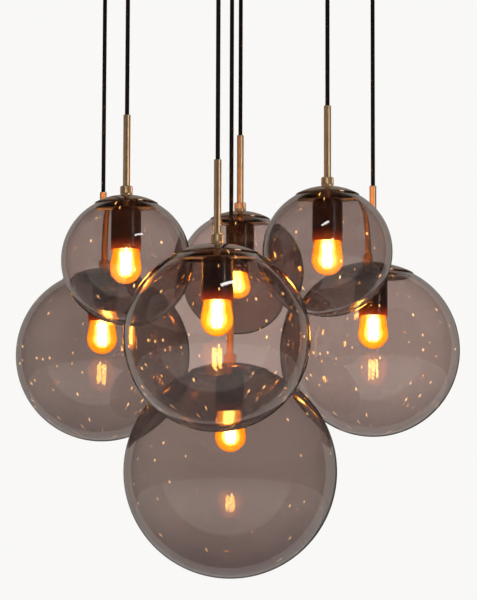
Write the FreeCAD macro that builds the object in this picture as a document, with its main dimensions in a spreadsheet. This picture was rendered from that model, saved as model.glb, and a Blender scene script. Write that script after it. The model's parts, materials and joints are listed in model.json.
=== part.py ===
"""Cluster pendant with seven glass globes hung at three sizes from one round ceiling canopy.

Frame: millimetres, +Z up, origin on the ceiling in the middle of the canopy. The front is -Y.
Each drop hangs on its own cord. From the top it is cord, stem, knurled nut, cap, glass globe,
bar under the glass, lampholder and bulb. The bearing of a drop is counted from the front,
positive towards +X.
"""
import FreeCAD, Part
import os
import re

import Sketcher

os.makedirs("parts", exist_ok=True)
doc = FreeCAD.newDocument("cluster_pendant")

# Driving sizes

SIZES = {
    # how far a cutting tool passes the faces that it cuts
    "overshoot": 1,
    # canopy and what fixes it
    "canopy_radius": 260, "canopy_depth": 34, "canopy_sheet": 1.5, "canopy_edge": 9,
    "bar_end": 20, "bar_width": 40, "bar_sheet": 3, "bar_corner": 10,
    "ceiling_hole_spacing": 300, "ceiling_hole_radius": 3.25, "lead_hole_radius": 12,
    "stud_reach": 200, "stud_radius": 3, "stud_tail": 12, "stud_clearance": 0.4,
    "cap_nut_radius": 9, "cap_nut_rim": 4, "cap_nut_fit": 0.05,
    # cords and cord grips
    "cord_radius": 3, "cord_clearance": 0.3, "cord_entry": 12,
    "grip_radius": 7.5, "grip_nose": 18, "grip_taper": 5, "grip_neck": 5, "grip_tail": 9,
    "grip_nut_flats": 14, "grip_nut_height": 3.5, "mouth_depth": 8, "mouth_flare": 3,
    "grip_lip": 0.8,
    # plan of the cluster
    "ring_inner": 162, "ring_outer": 228,
    # stem, nut and cap
    "stem_radius": 5, "stem_show": 101, "stem_thread": 10, "thread_fit": 0.05,
    "nut_radius": 8.75, "nut_height": 13, "nut_chamfer": 0.8, "nut_collar": 2.2,
    "knurl_depth": 0.55, "knurl_teeth": 28,
    "cap_sheet": 1.5, "cap_land": 0.5, "seat_gap": 0.2,
    "small_cap_radius": 44, "medium_cap_radius": 58, "large_cap_radius": 58,
    # glass globes
    "small_radius": 90, "medium_radius": 125, "large_radius": 150,
    "small_mouth": 34, "medium_mouth": 43, "large_mouth": 46,
    "glass": 3.5, "glass_edge": 1.2,
    # bar under the glass, lampholder and bulb
    "clamp_depth": 16, "clamp_width": 16, "clamp_sheet": 2, "clamp_edge": 0.5,
    "clamp_gap": 0.3,
    "holder_radius": 21, "holder_height": 58.5, "holder_wall": 1.6, "holder_round": 5,
    "holder_ring": 15, "holder_ring_width": 1, "holder_ring_depth": 0.5,
    "holder_recess": 13, "socket_depth": 28,
    "bulb_radius": 22, "bulb_drop": 25.5, "bulb_neck": 16.5, "bulb_sunk": 10, "bulb_wall": 1,
    "bulb_base_radius": 13, "bulb_base": 24, "bulb_tip_radius": 5, "bulb_tip": 3, "base_fit": 0.1,
    # free length of each cord, from its grip to the top of its stem
    "cord_small_left": 235, "cord_small_right": 225, "cord_small_back": 223,
    "cord_medium_front": 324, "cord_medium_left": 314, "cord_medium_right": 308,
    "cord_large_centre": 464,
}

# name, glass size, ring it hangs on, bearing in degrees
DROPS = [
    ("small_left", "small", "ring_inner", -60),
    ("small_right", "small", "ring_inner", 60),
    ("small_back", "small", "ring_inner", 180),
    ("medium_front", "medium", "ring_outer", 0),
    ("medium_left", "medium", "ring_outer", -120),
    ("medium_right", "medium", "ring_outer", 120),
    ("large_centre", "large", None, 0),
]

sheet = doc.addObject("Spreadsheet::Sheet", "sizes")
for row, (alias, number) in enumerate(SIZES.items(), start=1):
    sheet.set(f"A{row}", alias)
    sheet.set(f"B{row}", str(number))
    sheet.setAlias(f"B{row}", alias)
doc.recompute()

finished = []
TOLERANCE = 0.01


# Helpers

def tied(text):
    """A formula with each size's name turned into a reference to its cell."""
    return re.sub(r"[a-z_]+", lambda word: f"sizes.{word[0]}" if word[0] in SIZES else word[0], text)


def value(text):
    """The number that a formula gives with the sheet's present values."""
    return float(sheet.evalExpression(tied(text)))


def bind(thing, **formulas):
    """Bind properties of an object to formulas. x, y and z are its place."""
    for key, text in formulas.items():
        path = f"Placement.Base.{key}" if key in ("x", "y", "z") else key
        thing.setExpression(path, tied(str(text)))
    return thing


def solid(kind, name, **formulas):
    """A Part primitive with its sizes bound."""
    return bind(doc.addObject(f"Part::{kind}", name), **formulas)


def rod(name, radius, low, high, x="0", y="0"):
    """An upright cylinder from one height to another."""
    return solid("Cylinder", name, Radius=radius, Height=f"({high}) - ({low})", x=x, y=y, z=low)


def cut(name, base, *tools):
    """Take each tool away from the base in turn."""
    for count, tool in enumerate(tools):
        label = name if count == len(tools) - 1 else f"{name}_less_{count}"
        result = doc.addObject("Part::Cut", label)
        result.Base = base
        result.Tool = tool
        base = result
    return base


def fuse(name, *pieces):
    """Join pieces into one solid."""
    result = doc.addObject("Part::MultiFuse", name)
    result.Shapes = list(pieces)
    result.Refine = True
    return result


def common(name, *pieces):
    """Keep what all the pieces share."""
    result = doc.addObject("Part::MultiCommon", name)
    result.Shapes = list(pieces)
    return result


def finish(node, thing, **place):
    """Name a finished sub-part after its node and put it in its place."""
    thing.Label = node
    bind(thing, **place)
    finished.append(thing)
    return thing


def new_body(name):
    body = doc.addObject("PartDesign::Body", name)
    planes = {item.Role: item for item in body.Origin.OriginFeatures}
    return body, planes


def new_sketch(body, plane, name):
    sketch = body.newObject("Sketcher::SketchObject", name)
    sketch.AttachmentSupport = [(plane, "")]
    sketch.MapMode = "FlatFace"
    return sketch


def pin_point(sketch, edge, end, x, y):
    """Hold one end of an edge at a bound place in its sketch."""
    for axis, text in (("DistanceX", x), ("DistanceY", y)):
        spot = sketch.addConstraint(Sketcher.Constraint(axis, -1, 1, edge, end, value(text)))
        sketch.setExpression(f"Constraints[{spot}]", tied(text))


def outline(sketch, points):
    """A closed outline of straight edges through bound points."""
    places = [FreeCAD.Vector(value(x), value(y), 0) for x, y in points]
    for start, end in zip(places, places[1:] + places[:1]):
        sketch.addGeometry(Part.LineSegment(start, end))
    for edge in range(len(places)):
        following = (edge + 1) % len(places)
        sketch.addConstraint(Sketcher.Constraint("Coincident", edge, 2, following, 1))
    for edge, (x, y) in enumerate(points):
        pin_point(sketch, edge, 1, x, y)


def ring_mark(sketch, radius, x="0", y="0"):
    """A circle with its radius and middle bound."""
    middle = FreeCAD.Vector(value(x), value(y), 0)
    edge = sketch.addGeometry(Part.Circle(middle, FreeCAD.Vector(0, 0, 1), value(radius)))
    pin_point(sketch, edge, 3, x, y)
    spot = sketch.addConstraint(Sketcher.Constraint("Radius", edge, value(radius)))
    sketch.setExpression(f"Constraints[{spot}]", tied(radius))


def turned(body, plane, name, points):
    """A body turned about the upright axis from an outline of radius and height."""
    sketch = new_sketch(body, plane, f"{name}_outline")
    outline(sketch, points)
    turn = body.newObject("PartDesign::Revolution", f"{name}_turned")
    turn.Profile = sketch
    turn.ReferenceAxis = (sketch, ["V_Axis"])
    turn.Angle = 360
    doc.recompute()
    return turn


def ease_body(body, feature, edges, radius, name):
    """Round some edges of a body's last feature."""
    rounded = bind(body.newObject("PartDesign::Fillet", name), Radius=radius)
    rounded.Base = (feature, edges)
    doc.recompute()
    return rounded


def round_edges(name, base, radius, wanted):
    """Round the edges of a solid whose middle satisfies a test."""
    doc.recompute()
    picked = [index for index, edge in enumerate(base.Shape.Edges, start=1) if wanted(edge)]
    result = doc.addObject("Part::Fillet", name)
    result.Base = base
    result.Edges = [(index, value(radius), value(radius)) for index in picked]
    return result


def ring_of(radius):
    """A test for level round edges of one radius."""
    width = 2 * value(radius)

    def matches(edge):
        box = edge.BoundBox
        return box.ZLength < TOLERANCE and abs(box.XLength - width) < TOLERANCE

    return matches


def plan_place(ring, bearing):
    """Formulas for x and y of a drop."""
    if ring is None:
        return "0", "0"
    return f"{ring} * sin({bearing} deg)", f"-{ring} * cos({bearing} deg)"


# Heights that several pieces share

GRIP_NOSE = "-(canopy_depth + grip_nose)"
CORD_TOP = "-(canopy_depth + grip_nose - mouth_depth)"
CLAMP_TOP = "-clamp_depth"
HOLDER_TOP = "-(clamp_depth + clamp_sheet)"
HOLDER_END = f"{HOLDER_TOP} - holder_height"
BASE_TOP = f"{HOLDER_END} + bulb_sunk + bulb_base"


def stem_top(name):
    return f"{GRIP_NOSE} - cord_{name}"


def cap_seat(name):
    """Height of the flat on the cap, which carries the knurled nut. A drop's own frame starts there."""
    return f"{stem_top(name)} - stem_show - nut_height"


def globe_middle(size):
    """Height of the middle of the globe in the drop's own frame."""
    return f"-({size}_radius + seat_gap + cap_sheet - cap_land)"


# Canopy and what fixes it to the ceiling

def make_canopy():
    """A shallow spun dish, open towards the ceiling, drilled for the cords and the two studs."""
    body, planes = new_body("canopy_body")
    disc = new_sketch(body, planes["XY_Plane"], "canopy_disc")
    ring_mark(disc, "canopy_radius")
    pad = bind(body.newObject("PartDesign::Pad", "canopy_pad"), Length="canopy_depth")
    pad.Profile = disc
    pad.Reversed = True
    doc.recompute()
    low = -value("canopy_depth")
    rim = [f"Edge{index}" for index, edge in enumerate(pad.Shape.Edges, start=1)
           if abs(edge.BoundBox.ZMax - low) < TOLERANCE and abs(edge.BoundBox.ZMin - low) < TOLERANCE]
    rounded = ease_body(body, pad, rim, "canopy_edge", "canopy_round")
    lid = [f"Face{index}" for index, face in enumerate(rounded.Shape.Faces, start=1)
           if face.BoundBox.ZMin > -TOLERANCE]
    shell = bind(body.newObject("PartDesign::Thickness", "canopy_shell"), Value="canopy_sheet")
    shell.Base = (rounded, lid)
    shell.Mode = 0
    shell.Join = 0
    shell.Reversed = True
    doc.recompute()
    marks = new_sketch(body, planes["XY_Plane"], "canopy_marks")
    for name, size, ring, bearing in DROPS:
        x, y = plan_place(ring, bearing)
        ring_mark(marks, "grip_neck + stud_clearance", x, y)
    for side in ("-", ""):
        ring_mark(marks, "stud_radius + stud_clearance", f"{side}stud_reach", "0")
    holes = bind(body.newObject("PartDesign::Pocket", "canopy_holes"),
                 Length="canopy_depth + canopy_sheet")
    holes.Profile = marks
    holes.Reversed = False
    body.Tip = holes
    return finish("canopy", body)


def make_ceiling_bracket():
    """A steel strap against the ceiling with two studs that hold the canopy up."""
    half = "(stud_reach + bar_end)"
    strap = solid("Box", "strap", Length=f"2 * {half}", Width="bar_width", Height="bar_sheet",
                  x=f"-{half}", y="-bar_width / 2", z="-bar_sheet")
    upright = round_edges("strap_corners", strap, "bar_corner",
                          lambda edge: edge.BoundBox.ZLength > 1)
    studs = [rod(f"stud_{side}", "stud_radius", "-(canopy_depth + stud_tail)", "-bar_sheet / 2",
                 x=f"{sign}stud_reach") for side, sign in (("left", "-"), ("right", ""))]
    drills = [rod(f"ceiling_hole_{side}", "ceiling_hole_radius", "-bar_sheet - overshoot", "overshoot",
                  x=f"{sign}ceiling_hole_spacing / 2") for side, sign in (("left", "-"), ("right", ""))]
    lead = rod("lead_hole", "lead_hole_radius", "-bar_sheet - overshoot", "overshoot")
    welded = fuse("bracket_welded", upright, *studs)
    return finish("ceiling_bracket", cut("bracket_drilled", welded, *drills, lead))


def make_canopy_nuts():
    """Two domed nuts that clamp the canopy's floor from below."""
    nuts = []
    for side, sign in (("left", "-"), ("right", "")):
        ball = solid("Sphere", f"nut_ball_{side}", Radius="cap_nut_radius", z="-cap_nut_rim")
        rim = rod(f"nut_rim_{side}", "cap_nut_radius", "-cap_nut_rim", "0")
        above = rod(f"nut_above_{side}", "cap_nut_radius + overshoot", "0",
                    "cap_nut_radius + overshoot")
        bore = rod(f"nut_bore_{side}", "stud_radius + cap_nut_fit", "-stud_tail - cap_nut_fit",
                   "overshoot")
        whole = cut(f"nut_half_{side}", fuse(f"nut_whole_{side}", ball, rim), above, bore)
        bind(whole, x=f"{sign}stud_reach", z="-canopy_depth")
        nuts.append(whole)
    pair = doc.addObject("Part::Compound", "canopy_nut_pair")
    pair.Links = nuts
    return finish("canopy_nuts", pair)


def make_cord_grips():
    """One grip for each cord: nose with a flared mouth, threaded neck and a hex nut inside the canopy."""
    grips = []
    for name, size, ring, bearing in DROPS:
        x, y = plan_place(ring, bearing)
        straight = rod(f"grip_straight_{name}", "grip_radius", "grip_taper - grip_nose", "0")
        taper = solid("Cone", f"grip_taper_{name}", Radius1="cord_radius + cord_clearance + mouth_flare + grip_lip",
                      Radius2="grip_radius", Height="grip_taper", z="-grip_nose")
        neck = rod(f"grip_neck_{name}", "grip_neck", "-overshoot", "grip_tail")
        nut = solid("Prism", f"grip_nut_{name}", Polygon="6",
                    Circumradius="grip_nut_flats / 2 / cos(30 deg)", Height="grip_nut_height",
                    z="canopy_sheet")
        bore = rod(f"grip_bore_{name}", "cord_radius + cord_clearance",
                   "-grip_nose - overshoot", "grip_tail + overshoot")
        mouth = solid("Cone", f"grip_mouth_{name}", Radius2="cord_radius + cord_clearance",
                      Radius1="cord_radius + cord_clearance + mouth_flare",
                      Height="mouth_depth", z="-grip_nose")
        whole = fuse(f"grip_whole_{name}", straight, taper, neck, nut)
        grip = cut(f"grip_{name}", whole, bore, mouth)
        bind(grip, x=x, y=y, z="-canopy_depth")
        grips.append(grip)
    group = doc.addObject("Part::Compound", "grip_group")
    group.Links = grips
    return finish("cord_grips", group)


# Pieces of one drop, each in the drop's own frame

def make_cord(name, place):
    """A straight cord from the throat of its grip into the top of the stem."""
    low = f"{stem_top(name)} - cord_entry"
    cord = rod(f"cord_line_{name}", "cord_radius", low, CORD_TOP)
    return finish(f"cord_{name}", cord, x=place["x"], y=place["y"])


def make_stem(name, place):
    """A threaded brass tube through nut, cap and bar into the lampholder."""
    low = f"{HOLDER_TOP} - stem_thread"
    high = "nut_height + stem_show"
    tube = rod(f"stem_tube_{name}", "stem_radius", low, high)
    bore = rod(f"stem_bore_{name}", "cord_radius + cord_clearance", f"{low} - overshoot",
               f"{high} + overshoot")
    return finish(f"stem_{name}", cut(f"stem_cut_{name}", tube, bore), **place)


def make_knurled_nut(name, place):
    """A turned nut with a plain collar at its foot and straight knurling above."""
    body, planes = new_body(f"nut_body_{name}")
    chamfer, radius = "nut_chamfer", "nut_radius"
    bore, reach = "stem_radius + thread_fit", "(nut_radius + overshoot)"
    turned(body, planes["XZ_Plane"], f"nut_{name}", [
        (bore, "0"), (f"{radius} - {chamfer} / 2", "0"), (f"{radius} - {chamfer} / 2", "nut_collar"),
        (radius, f"nut_collar + {chamfer}"), (radius, f"nut_height - {chamfer}"),
        (f"{radius} - {chamfer}", "nut_height"), (bore, "nut_height"),
    ])
    notch = new_sketch(body, planes["XY_Plane"], f"notch_{name}")
    outline(notch, [
        (f"{radius} - knurl_depth", "0"),
        (reach, f"-{reach} * tan(150 deg / knurl_teeth)"),
        (reach, f"{reach} * tan(150 deg / knurl_teeth)"),
    ])
    groove = body.newObject("PartDesign::Pocket", f"groove_{name}")
    groove.Profile = notch
    groove.Reversed = True
    groove.Type = 0
    bind(groove, Length="nut_height")
    pattern = body.newObject("PartDesign::PolarPattern", f"knurl_{name}")
    pattern.Originals = [groove]
    pattern.Axis = (notch, ["N_Axis"])
    pattern.Angle = 360
    bind(pattern, Occurrences="knurl_teeth")
    body.Tip = pattern
    return finish(f"knurled_nut_{name}", body, **place)


def make_cap(name, size, place):
    """A shallow pressed cap that follows the top of the globe, with a flat for the nut."""
    inner = f"{size}_radius + seat_gap"
    middle = globe_middle(size)
    radius = f"{size}_cap_radius"
    outside = solid("Sphere", f"cap_out_{name}", Radius=f"{inner} + cap_sheet", z=middle)
    inside = solid("Sphere", f"cap_in_{name}", Radius=inner, z=middle)
    reach = rod(f"cap_reach_{name}", radius, f"{middle} + {size}_radius / 2", "0")
    hole = rod(f"cap_hole_{name}", "stem_radius + thread_fit", "-clamp_depth", "overshoot")
    pressed = common(f"cap_pressed_{name}", outside, reach)
    return finish(f"cap_{name}", cut(f"cap_cut_{name}", pressed, inside, hole), **place)


def make_globe(name, size, place):
    """A blown glass ball of even wall with a round mouth at the top, its edge fire-polished."""
    middle = globe_middle(size)
    outside = solid("Sphere", f"glass_out_{name}", Radius=f"{size}_radius", z=middle)
    inside = solid("Sphere", f"glass_in_{name}", Radius=f"{size}_radius - glass", z=middle)
    mouth = rod(f"glass_mouth_{name}", f"{size}_mouth", middle, "overshoot")
    raw = cut(f"glass_raw_{name}", outside, inside, mouth)
    globe = round_edges(f"glass_edge_{name}", raw, "glass_edge", ring_of(f"{size}_mouth"))
    return finish(f"globe_{name}", globe, **place)


def make_glass_bar(name, size, place):
    """A steel bar that bears up against the glass beside the mouth and clamps it to the cap."""
    reach = f"sqrt(pow({size}_radius - glass; 2) - pow({middle_above_bar(size)}; 2)) - clamp_gap"
    strap = solid("Box", f"bar_strap_{name}", Length=f"2 * ({reach})", Width="clamp_width",
                  Height="clamp_sheet", x=f"-({reach})", y="-clamp_width / 2",
                  z=f"{CLAMP_TOP} - clamp_sheet")
    ends = rod(f"bar_ends_{name}", reach, f"{CLAMP_TOP} - clamp_sheet", CLAMP_TOP)
    hole = rod(f"bar_hole_{name}", "stem_radius + thread_fit",
               f"{CLAMP_TOP} - clamp_sheet - overshoot", "0")
    blank = common(f"bar_blank_{name}", strap, ends)
    eased = round_edges(f"bar_eased_{name}", blank, "clamp_edge",
                        lambda edge: edge.BoundBox.ZLength < TOLERANCE)
    return finish(f"glass_bar_{name}", cut(f"bar_cut_{name}", eased, hole), **place)


def middle_above_bar(size):
    """Height of the top of the bar over the middle of the globe."""
    return f"({size}_radius + seat_gap + cap_sheet - cap_land - clamp_depth)"


def make_lampholder(name, place):
    """A cup over a screw socket: open mouth round the neck of the bulb, socket bore, threaded entry."""
    body, planes = new_body(f"holder_body_{name}")
    outer, top, end = "holder_radius", HOLDER_TOP, HOLDER_END
    recess, socket = "holder_radius - holder_wall", "bulb_base_radius + base_fit"
    entry = "stem_radius + thread_fit"
    sunk, deep = f"{end} + holder_recess", f"{end} + holder_recess + socket_depth"
    ring_top, groove = f"{top} - holder_ring", f"{outer} - holder_ring_depth"
    ring_low = f"{ring_top} - holder_ring_width"
    turn = turned(body, planes["XZ_Plane"], f"holder_{name}", [
        (recess, end), (outer, end), (outer, ring_low), (groove, ring_low), (groove, ring_top),
        (outer, ring_top), (outer, top), (entry, top), (entry, f"{top} - stem_thread"),
        ("0", f"{top} - stem_thread"), ("0", deep), (socket, deep), (socket, sunk), (recess, sunk),
    ])
    wide, level = ring_of("holder_radius"), value(top)
    edges = [f"Edge{index}" for index, edge in enumerate(turn.Shape.Edges, start=1)
             if wide(edge) and abs(edge.BoundBox.ZMax - level) < TOLERANCE]
    ease_body(body, turn, edges, "holder_round", f"holder_shoulder_{name}")
    return finish(f"lampholder_{name}", body, **place)


def make_bulb(name, place):
    """A small round filament bulb: ball, neck drawn tangent from it, screw base and contact tip."""
    middle = f"{HOLDER_END} - bulb_drop"
    rise = "(bulb_drop + bulb_sunk)"
    slant = f"sqrt(pow(bulb_neck; 2) + pow({rise}; 2))"
    lean = f"(atan(bulb_neck / {rise}) + acos(bulb_radius / {slant}))"
    ball = solid("Sphere", f"bulb_ball_{name}", Radius="bulb_radius", z=middle)
    neck = solid("Cone", f"bulb_neck_{name}", Radius1=f"bulb_radius * sin({lean})",
                 Radius2="bulb_neck", Height=f"{rise} - bulb_radius * cos({lean})",
                 z=f"{middle} + bulb_radius * cos({lean})")
    base = rod(f"bulb_base_{name}", "bulb_base_radius", f"{HOLDER_END} + bulb_sunk", BASE_TOP)
    tip = solid("Cone", f"bulb_tip_{name}", Radius1="bulb_base_radius - bulb_tip",
                Radius2="bulb_tip_radius", Height="bulb_tip", z=BASE_TOP)
    ball_space = solid("Sphere", f"bulb_ball_space_{name}", Radius="bulb_radius - bulb_wall", z=middle)
    neck_space = solid("Cone", f"bulb_neck_space_{name}", Radius2="bulb_neck - bulb_wall",
                       Radius1=f"bulb_radius * sin({lean}) - bulb_wall",
                       Height=f"{rise} - bulb_radius * cos({lean}) - bulb_wall",
                       z=f"{middle} + bulb_radius * cos({lean})")
    whole = fuse(f"bulb_whole_{name}", ball, neck, base, tip)
    space = fuse(f"bulb_space_{name}", ball_space, neck_space)
    return finish(f"bulb_{name}", cut(f"bulb_hollow_{name}", whole, space), **place)


make_canopy()
make_ceiling_bracket()
make_canopy_nuts()
make_cord_grips()
for name, size, ring, bearing in DROPS:
    x, y = plan_place(ring, bearing)
    place = {"x": x, "y": y, "z": cap_seat(name)}
    make_cord(name, place)
    make_stem(name, place)
    make_knurled_nut(name, place)
    make_cap(name, size, place)
    make_globe(name, size, place)
    make_glass_bar(name, size, place)
    make_lampholder(name, place)
    make_bulb(name, place)
doc.recompute()

# Every object is sound before anything is written

for thing in doc.Objects:
    if "Invalid" in thing.State or "Error" in thing.State:
        raise RuntimeError(f"{thing.Label} did not rebuild: {thing.State}")
for thing in finished:
    shape = thing.Shape
    if shape.isNull() or not shape.isValid():
        raise RuntimeError(f"{thing.Label} has no sound shape")
    shape.exportStep(f"parts/{thing.Label}.step")

cord_length = {name: round(value(f"{CORD_TOP} - ({stem_top(name)} - cord_entry)"), 1)
               for name, size, ring, bearing in DROPS}
print(len(finished), "nodes; cord lengths", cord_length)
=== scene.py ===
"""Cluster pendant of seven smoked glass globes: the visible pieces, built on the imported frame.

Each piece is turned, pressed, blown or bent the way the real one is, and sits where its solid is.
Lengths are metres. A drop's own frame starts on the flat of its cap, under the knurled nut.
"""
import json
import math

import bmesh
import bpy
from mathutils import Matrix, Vector

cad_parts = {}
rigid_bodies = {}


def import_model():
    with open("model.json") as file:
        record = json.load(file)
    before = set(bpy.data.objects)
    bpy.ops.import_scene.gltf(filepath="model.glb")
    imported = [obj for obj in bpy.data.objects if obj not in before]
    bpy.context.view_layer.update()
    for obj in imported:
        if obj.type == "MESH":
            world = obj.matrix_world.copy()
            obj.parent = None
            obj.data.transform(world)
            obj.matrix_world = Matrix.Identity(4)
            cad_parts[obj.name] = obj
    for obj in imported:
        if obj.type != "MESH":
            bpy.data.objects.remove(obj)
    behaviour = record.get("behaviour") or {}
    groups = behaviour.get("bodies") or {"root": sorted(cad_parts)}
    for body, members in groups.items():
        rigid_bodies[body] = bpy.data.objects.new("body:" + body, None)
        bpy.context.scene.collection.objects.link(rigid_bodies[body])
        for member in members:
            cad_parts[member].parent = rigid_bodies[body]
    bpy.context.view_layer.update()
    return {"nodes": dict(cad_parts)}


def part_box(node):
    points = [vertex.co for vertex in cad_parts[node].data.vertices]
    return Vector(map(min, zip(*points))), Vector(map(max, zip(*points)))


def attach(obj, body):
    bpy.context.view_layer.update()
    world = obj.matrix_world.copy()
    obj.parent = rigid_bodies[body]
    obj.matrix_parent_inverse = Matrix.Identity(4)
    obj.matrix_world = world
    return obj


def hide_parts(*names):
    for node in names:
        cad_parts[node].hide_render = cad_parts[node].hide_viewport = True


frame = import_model()

bl_info = {
    "name": "Cluster Pendant",
    "version": (1, 0, 0),
    "blender": (4, 5, 0),
    "location": "View3D > Sidebar > Pendant",
    "description": "Builds a pendant of smoked glass globes on brass stems",
    "category": "Object",
}

MM = 0.001
DROPS = tuple(node[len("globe_"):] for node in frame["nodes"] if node.startswith("globe_"))
BALLS = {
    name: (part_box(f"globe_{name}")[1].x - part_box(f"globe_{name}")[0].x) / 2 for name in DROPS
}
# The stem and the nut have this much room in the holes that they go through.
BORE_FIT = 0.05 * MM
# The neck of a bulb's glass stands this far up inside its lampholder.
NECK_INSIDE = 10 * MM
# The glowing rods of a bulb lean in: how far they stand from its axis, above and below, and the
# height of their middle in a drop's own frame.
ROD_TOP, ROD_FOOT = 6.6 * MM, 4.9 * MM
ROD_MIDDLE = -96 * MM
WIRE_RADIUS = 0.28 * MM
BULB_LIGHT_RADIUS, BULB_WATTS = 4 * MM, 2.2
# How much further each next nut or bulb is turned, so that no two look alike.
NUT_TURN, BULB_TURN, FIRST_BULB_TURN = 0.7, 0.9, 0.35
# A ray that has gone through more surfaces than this has come through another ball as well.
SURFACES_OF_OWN_BALL = 5.5
# Drops whose stems and nuts stand among the lit bulbs and catch their glow.
AMONG_BULBS = ("medium_left", "medium_right", "large_centre")
# How the smoke of each ball differs from the plain tint: above 1 it is paler.
PALENESS = {
    "small_left": 1.01, "small_right": 0.98, "small_back": 1.17, "medium_front": 1.21,
    "medium_left": 0.90, "medium_right": 1.09, "large_centre": 0.90,
}
# How far the foot of a ball comes near the tint of its body: 1 is the same.
FOOT_THINNED = {"small": 1.0, "medium": 0.5, "large": 0.0}
# Painted glints of the bulbs' light in the glass: the space between two places for one, and the
# share of places that has one.
PAINTED_GLINT_SPACING = 13 * MM
PAINTED_GLINT_SHARES = {"small": 0.12, "medium": 0.16, "large": 0.04}
# Colours of light; a number above 1 is brighter than white.
# Light of the painted glints of the bulbs in the smoked glass.
PAINTED_GLINT_LIGHT = (2.4, 1.3, 0.4)
AMBER_RIM = (0.62, 0.2, 0.01)
AMBER_SHEEN = (0.84, 0.30, 0.003)
AMBER_CORE = (1.8, 1.6, 1.2)
AMBER_MIRRORED = (0.2, 0.05, 0.0)
AMBER_LUSTRE = (1, 0.5, 0.02, 1)
BEHIND_SMOKE = (2.5, 4.4, 2.0)
# Painted glow of a bulb's light on the lip of a lampholder, from none up to its brightest.
PAINTED_LIP_SHADE, PAINTED_LIP_GLOW = (0.005, 0.0006, 0.0), (0.55, 0.06, 0.01)
SOFT_LIGHT, SOFT_LEVEL = (0.95, 0.97, 1.0, 1), 0.7
ROOM_LIGHT = (1.0, 0.92, 0.85, 1)
WALL_LEVEL, GROUND_LEVEL, LEFT_LEVEL, RIGHT_LEVEL, DARKEST_LEVEL = 0.30, 0.4, 0.16, 0.05, 0.02
GLOW_AMONG, GLOW_BEHIND = (1.0, 0.22, 0.01), (1.0, 0.18, 0.0)
FLOOR_HEIGHT, FLOOR_SIDES, FLOOR_RINGS = -2.45, 64, (0.5, 1.5, 4.0, 9.0)
# What every name starts with, for a lamp that shows in every piece.
EVERY_PIECE = ("",)


# Sizes and colours that a user would change

def length(label, text, millimetres):
    """A length property, given in millimetres."""
    return bpy.props.FloatProperty(
        name=label, description=text, default=millimetres * MM, min=0, unit="LENGTH", precision=5
    )


def colour(label, text, red, green, blue):
    """A colour property."""
    return bpy.props.FloatVectorProperty(
        name=label, description=text, default=(red, green, blue), size=3, min=0, max=1,
        subtype="COLOR",
    )


class PendantSizes(bpy.types.PropertyGroup):
    """Sizes of the visible pieces"""

    glass_wall: length("Glass wall", "Thickness of the blown glass", 3.5)
    glass_lip: length("Glass lip", "How far the fire-polished lip stands into the mouth", 1.6)
    small_mouth: length("Small mouth", "Radius of the mouth of a small globe", 34)
    medium_mouth: length("Medium mouth", "Radius of the mouth of a medium globe", 43)
    large_mouth: length("Large mouth", "Radius of the mouth of the large globe", 46)
    cap_sheet: length("Cap sheet", "Thickness of the pressed cap", 1.5)
    cap_gap: length("Cap gap", "Space between the cap and the glass", 0.2)
    cap_land: length("Cap land", "How deep the flat for the nut is pressed", 0.5)
    stem_radius: length("Stem radius", "Outer radius of the threaded stem", 5)
    stem_bore: length("Stem bore", "Inner radius of the stem", 3.3)
    thread_pitch: length("Thread pitch", "Pitch of the thread on the foot of the stem", 1)
    nut_radius: length("Nut radius", "Radius over the knurling", 8.75)
    nut_collar: length("Nut collar", "Height of the plain collar of the nut", 2.2)
    knurl_depth: length("Knurl depth", "Depth of the knurling", 0.55)
    cord_radius: length("Cord radius", "Radius of the round flex", 3)
    bulb_radius: length("Bulb radius", "Radius of the ball of the bulb", 22)
    bulb_wall: length("Bulb wall", "Thickness of the bulb's glass", 0.9)
    bulb_neck: length("Bulb neck", "Radius of the bulb where its glass meets the screw base", 16.5)
    base_radius: length("Base radius", "Radius over the thread of the screw base", 12.9)
    filament_radius: length("Filament radius", "Radius of one glowing rod", 2.0)
    knurl_teeth: bpy.props.IntProperty(
        name="Knurl teeth", description="Ridges round the nut", default=28, min=8
    )


class PendantColours(bpy.types.PropertyGroup):
    """Colours of the finishes"""

    smoke: colour("Smoke", "Tint of the globes, once through one wall", 0.575, 0.485, 0.455)
    smoke_foot: colour("Smoke foot", "Tint where the blown glass is thickest", 0.38, 0.31, 0.30)
    amber: colour("Amber", "Tint of the glass of the bulbs", 1.0, 0.76, 0.30)
    glow: colour("Glow", "Light scattered in the amber glass", 0.62, 0.14, 0.003)
    filament: colour("Filament", "Light of the glowing rods", 1.0, 0.90, 0.42)
    lamplight: colour("Lamplight", "Light that the bulbs throw on things near them",
                      1.0, 0.42, 0.08)
    brass: colour("Brass", "Polished brass of stems, nuts and grips", 0.80, 0.56, 0.33)
    brass_tarnish: colour("Brass tarnish", "Brass where it has dulled", 0.62, 0.41, 0.22)
    bronze: colour("Bronze", "Dark polished bronze of caps and canopy", 0.40, 0.26, 0.18)
    bronze_worn: colour("Bronze worn", "Bronze on rubbed edges", 0.60, 0.42, 0.25)
    steel: colour("Steel", "Zinc-plated steel of bar and bracket", 0.52, 0.51, 0.49)
    holder: colour("Holder", "Moulded black of the lampholders", 0.005, 0.0014, 0.0007)
    flex: colour("Flex", "Black sheath of the cords", 0.007, 0.003, 0.002)
    backdrop: colour("Backdrop", "Plain background", 0.947, 0.939, 0.922)
    floor: colour("Floor", "Plain pale floor", 0.88, 0.865, 0.84)


# Meshes

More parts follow.
